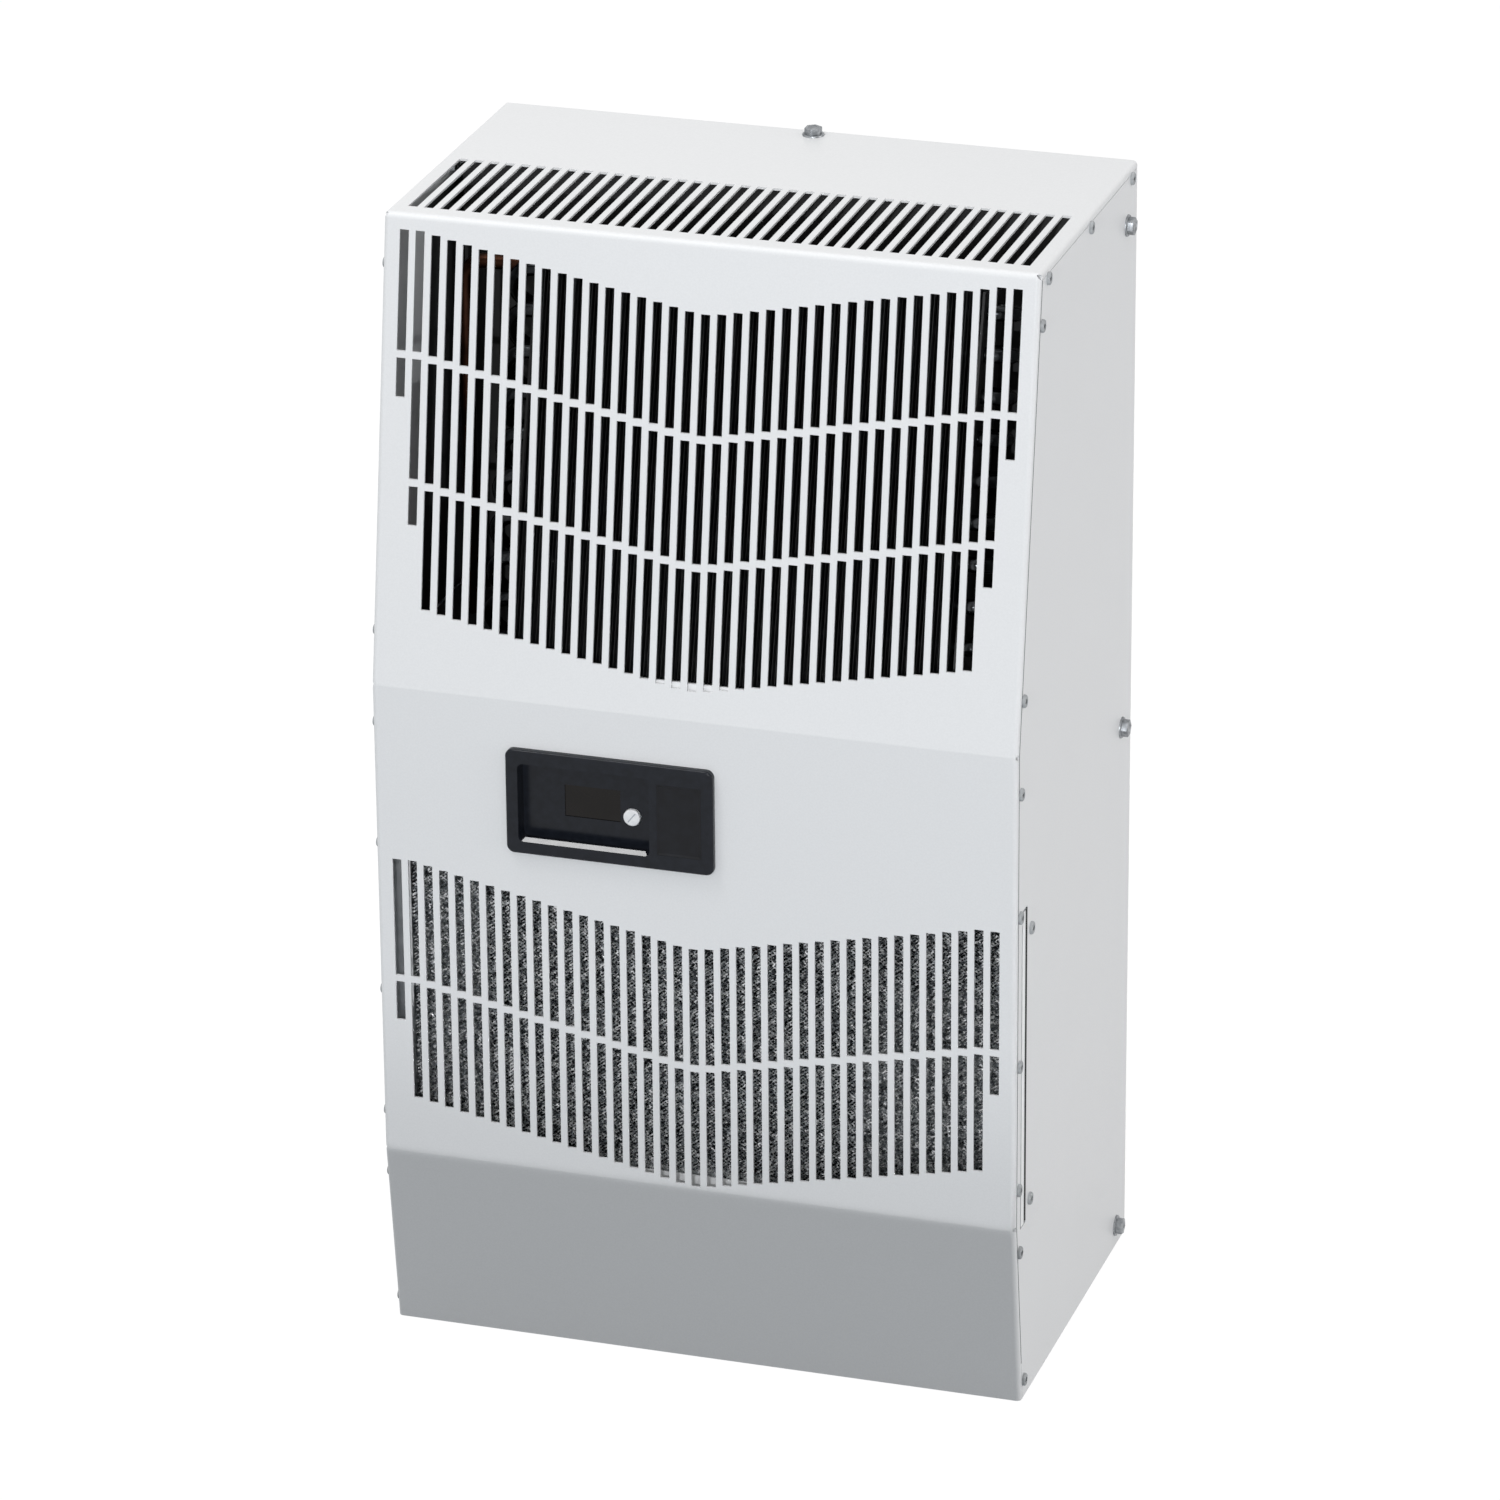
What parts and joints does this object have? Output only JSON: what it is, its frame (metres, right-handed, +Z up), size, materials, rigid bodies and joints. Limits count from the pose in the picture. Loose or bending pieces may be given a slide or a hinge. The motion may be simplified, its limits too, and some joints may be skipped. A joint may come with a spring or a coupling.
{
  "type": "enclosure air conditioner",
  "caption": "Air conditioner for the outside of an electrical enclosure: a tall grey shroud with slotted grilles, a black control panel and a filter that slides out of the side.",
  "frame": {"origin": "middle of the base pan's underside, halfway between the front and the rear plate", "axes": "+X to the right of someone facing the grilles, +Y towards the rear plate that bolts to the enclosure, +Z up"},
  "size_m": [0.4234, 0.2755, 0.7402],
  "materials": {
    "shroud_paint": "fine-textured light grey powder coat",
    "galvanised_sheet": "galvanised, matt",
    "zinc_fastener": "bright zinc",
    "painted_screw": "light grey",
    "black_foam": "closed-cell foam, matt",
    "filter_aluminium": "knitted wire, bright",
    "bezel_plastic": "satin black",
    "display_glass": "smoked, glossy",
    "button_plastic": "white",
    "badge_film": "dark grey film",
    "fin_aluminium": "stacked fins",
    "copper": "drawn copper",
    "black_steel": "black enamel",
    "motor_grey": "dark grey enamel",
    "fan_plastic": "black, moulded",
    "drain_plastic": "dark grey, moulded",
    "terminal_plastic": "moulded",
    "black_rubber": "matt"
  },
  "bodies": {
    "casing": {"front_cover": "shroud_paint", "left_side_panel": "shroud_paint", "right_side_panel": "shroud_paint", "back_plate": "shroud_paint", "base_pan": "galvanised_sheet", "bulkhead": "galvanised_sheet", "lower_filter_guide": "galvanised_sheet", "upper_filter_guide": "galvanised_sheet", "filter_baffle": "galvanised_sheet", "coil_deck": "galvanised_sheet", "condenser_left_plate": "galvanised_sheet", "condenser_right_plate": "galvanised_sheet", "fan_plate": "galvanised_sheet", "motor_bracket": "galvanised_sheet", "evaporator_left_plate": "galvanised_sheet", "evaporator_right_plate": "galvanised_sheet", "coil_brackets": "galvanised_sheet", "inlet_ring": "galvanised_sheet", "electrical_box": "galvanised_sheet", "electrical_cover": "galvanised_sheet", "shroud_bolts": "zinc_fastener", "chassis_nuts": "zinc_fastener", "mounting_nuts": "zinc_fastener", "compressor_studs": "zinc_fastener", "inlet_guard": "zinc_fastener", "guard_screws": "zinc_fastener", "left_side_screws": "painted_screw", "right_side_screws": "painted_screw", "rear_gasket": "black_foam", "bulkhead_insulation": "black_foam", "control_bezel": "bezel_plastic", "controller_case": "bezel_plastic", "display_window": "display_glass", "badge_plate": "badge_film", "condenser_fins": "fin_aluminium", "evaporator_fins": "fin_aluminium", "run_capacitor": "fin_aluminium", "condenser_tubes": "copper", "evaporator_tubes": "copper", "suction_elbow": "copper", "discharge_pipe": "copper", "liquid_pipe": "copper", "filter_drier": "copper", "capillary_tube": "copper", "suction_pipe": "copper", "compressor": "black_steel", "suction_accumulator": "black_steel", "condenser_motor": "motor_grey", "blower_motor": "motor_grey", "drain_pan": "drain_plastic", "drain_coupling": "drain_plastic", "terminal_block": "terminal_plastic", "compressor_grommets": "black_rubber", "cable_bushing": "black_rubber"},
    "air_filter": {"filter_frame": "filter_aluminium", "filter_mesh": "filter_aluminium"},
    "condenser_fan": {"condenser_fan": "fan_plastic"},
    "blower_wheel": {"blower_wheel": "fin_aluminium"},
    "unit_button": {"unit_button": "button_plastic"}
  },
  "joints": [
    {"name": "filter_slide", "type": "slide", "parent": "casing", "child": "air_filter", "axis": [1, 0, 0], "range_m": [0, 0.38]},
    {"name": "condenser_fan_spin", "type": "hinge", "parent": "casing", "child": "condenser_fan", "pos_m": [0, 0.01, 0.59], "axis": [0, 1, 0], "continuous": true},
    {"name": "blower_spin", "type": "hinge", "parent": "casing", "child": "blower_wheel", "pos_m": [0, 0.095, 0.575], "axis": [0, 1, 0], "continuous": true},
    {"name": "button_press", "type": "slide", "parent": "casing", "child": "unit_button", "axis": [0, 1, 0], "range_m": [0, 0.001], "stiffness_N_per_m": 400, "springref_m": -0.002}
  ]
}
